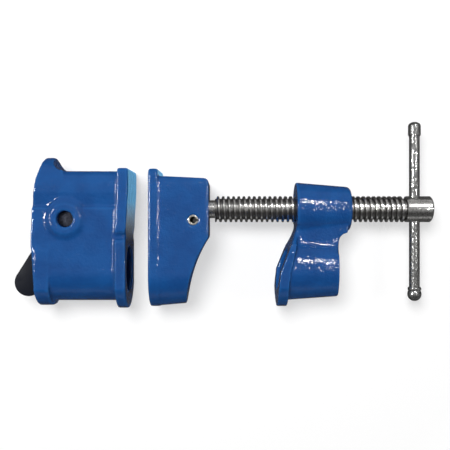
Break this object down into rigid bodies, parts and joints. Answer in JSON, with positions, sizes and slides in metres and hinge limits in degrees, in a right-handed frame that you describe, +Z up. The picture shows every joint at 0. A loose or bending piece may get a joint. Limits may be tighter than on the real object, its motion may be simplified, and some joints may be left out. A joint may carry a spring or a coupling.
{
  "type": "pipe clamp",
  "caption": "Woodworking pipe clamp fixture: screw head with T-handle, sliding front jaw and tail stop with a cam lever, all bored for one steel pipe.",
  "frame": {"origin": "on the pipe's axis at the mouth of the head's threaded socket", "axes": "+X along the pipe and the screw towards the T-handle, +Y up the throat from the pipe to the jaw pads, +Z up; the clamp lies on the flat sides of its castings, which face -Z"},
  "size_m": [0.254, 0.1135, 0.0408],
  "materials": {
    "blue_enamel": "glossy enamel over cast iron",
    "screw_steel": "bright plated, rolled thread",
    "bar_steel": "bright plated",
    "pin_steel": "plain steel, lightly oiled",
    "black_finish": "matte black"
  },
  "bodies": {
    "head": {"head_casting": "blue_enamel"},
    "jaw": {"front_jaw": "blue_enamel", "jaw_pin": "pin_steel"},
    "spindle": {"screw": "screw_steel"},
    "handle": {"handle_bar": "bar_steel", "bar_end_upper": "bar_steel", "bar_end_lower": "bar_steel"},
    "tail": {"tail_casting": "blue_enamel", "cam_pin": "pin_steel", "cam_spring": "pin_steel"},
    "lever": {"cam_lever": "black_finish"}
  },
  "joints": [
    {"name": "jaw_slide", "type": "slide", "parent": "head", "child": "jaw", "axis": [1, 0, 0], "range_m": [-0.01111, 0.04921]},
    {"name": "screw_turn", "type": "hinge", "parent": "jaw", "child": "spindle", "pos_m": [0, 0.0362, 0], "axis": [1, 0, 0], "range_deg": [-1261, 5581]},
    {"name": "bar_slide", "type": "slide", "parent": "spindle", "child": "handle", "axis": [0, 1, 0], "range_m": [-0.0366, 0.0395]},
    {"name": "tail_slide", "type": "slide", "parent": "head", "child": "tail", "axis": [-1, 0, 0], "range_m": [0, 0.3]},
    {"name": "cam_lift", "type": "hinge", "parent": "tail", "child": "lever", "pos_m": [-0.1253, 0.03, 0], "axis": [0, 0, -1], "range_deg": [0, 60], "stiffness_Nm_per_rad": 0.05, "springref_deg": -17.19, "deforming": ["cam_spring"]}
  ],
  "couplings": [
    {"joint": "screw_turn", "follows": "jaw_slide", "rad_per_m": 1979}
  ]
}
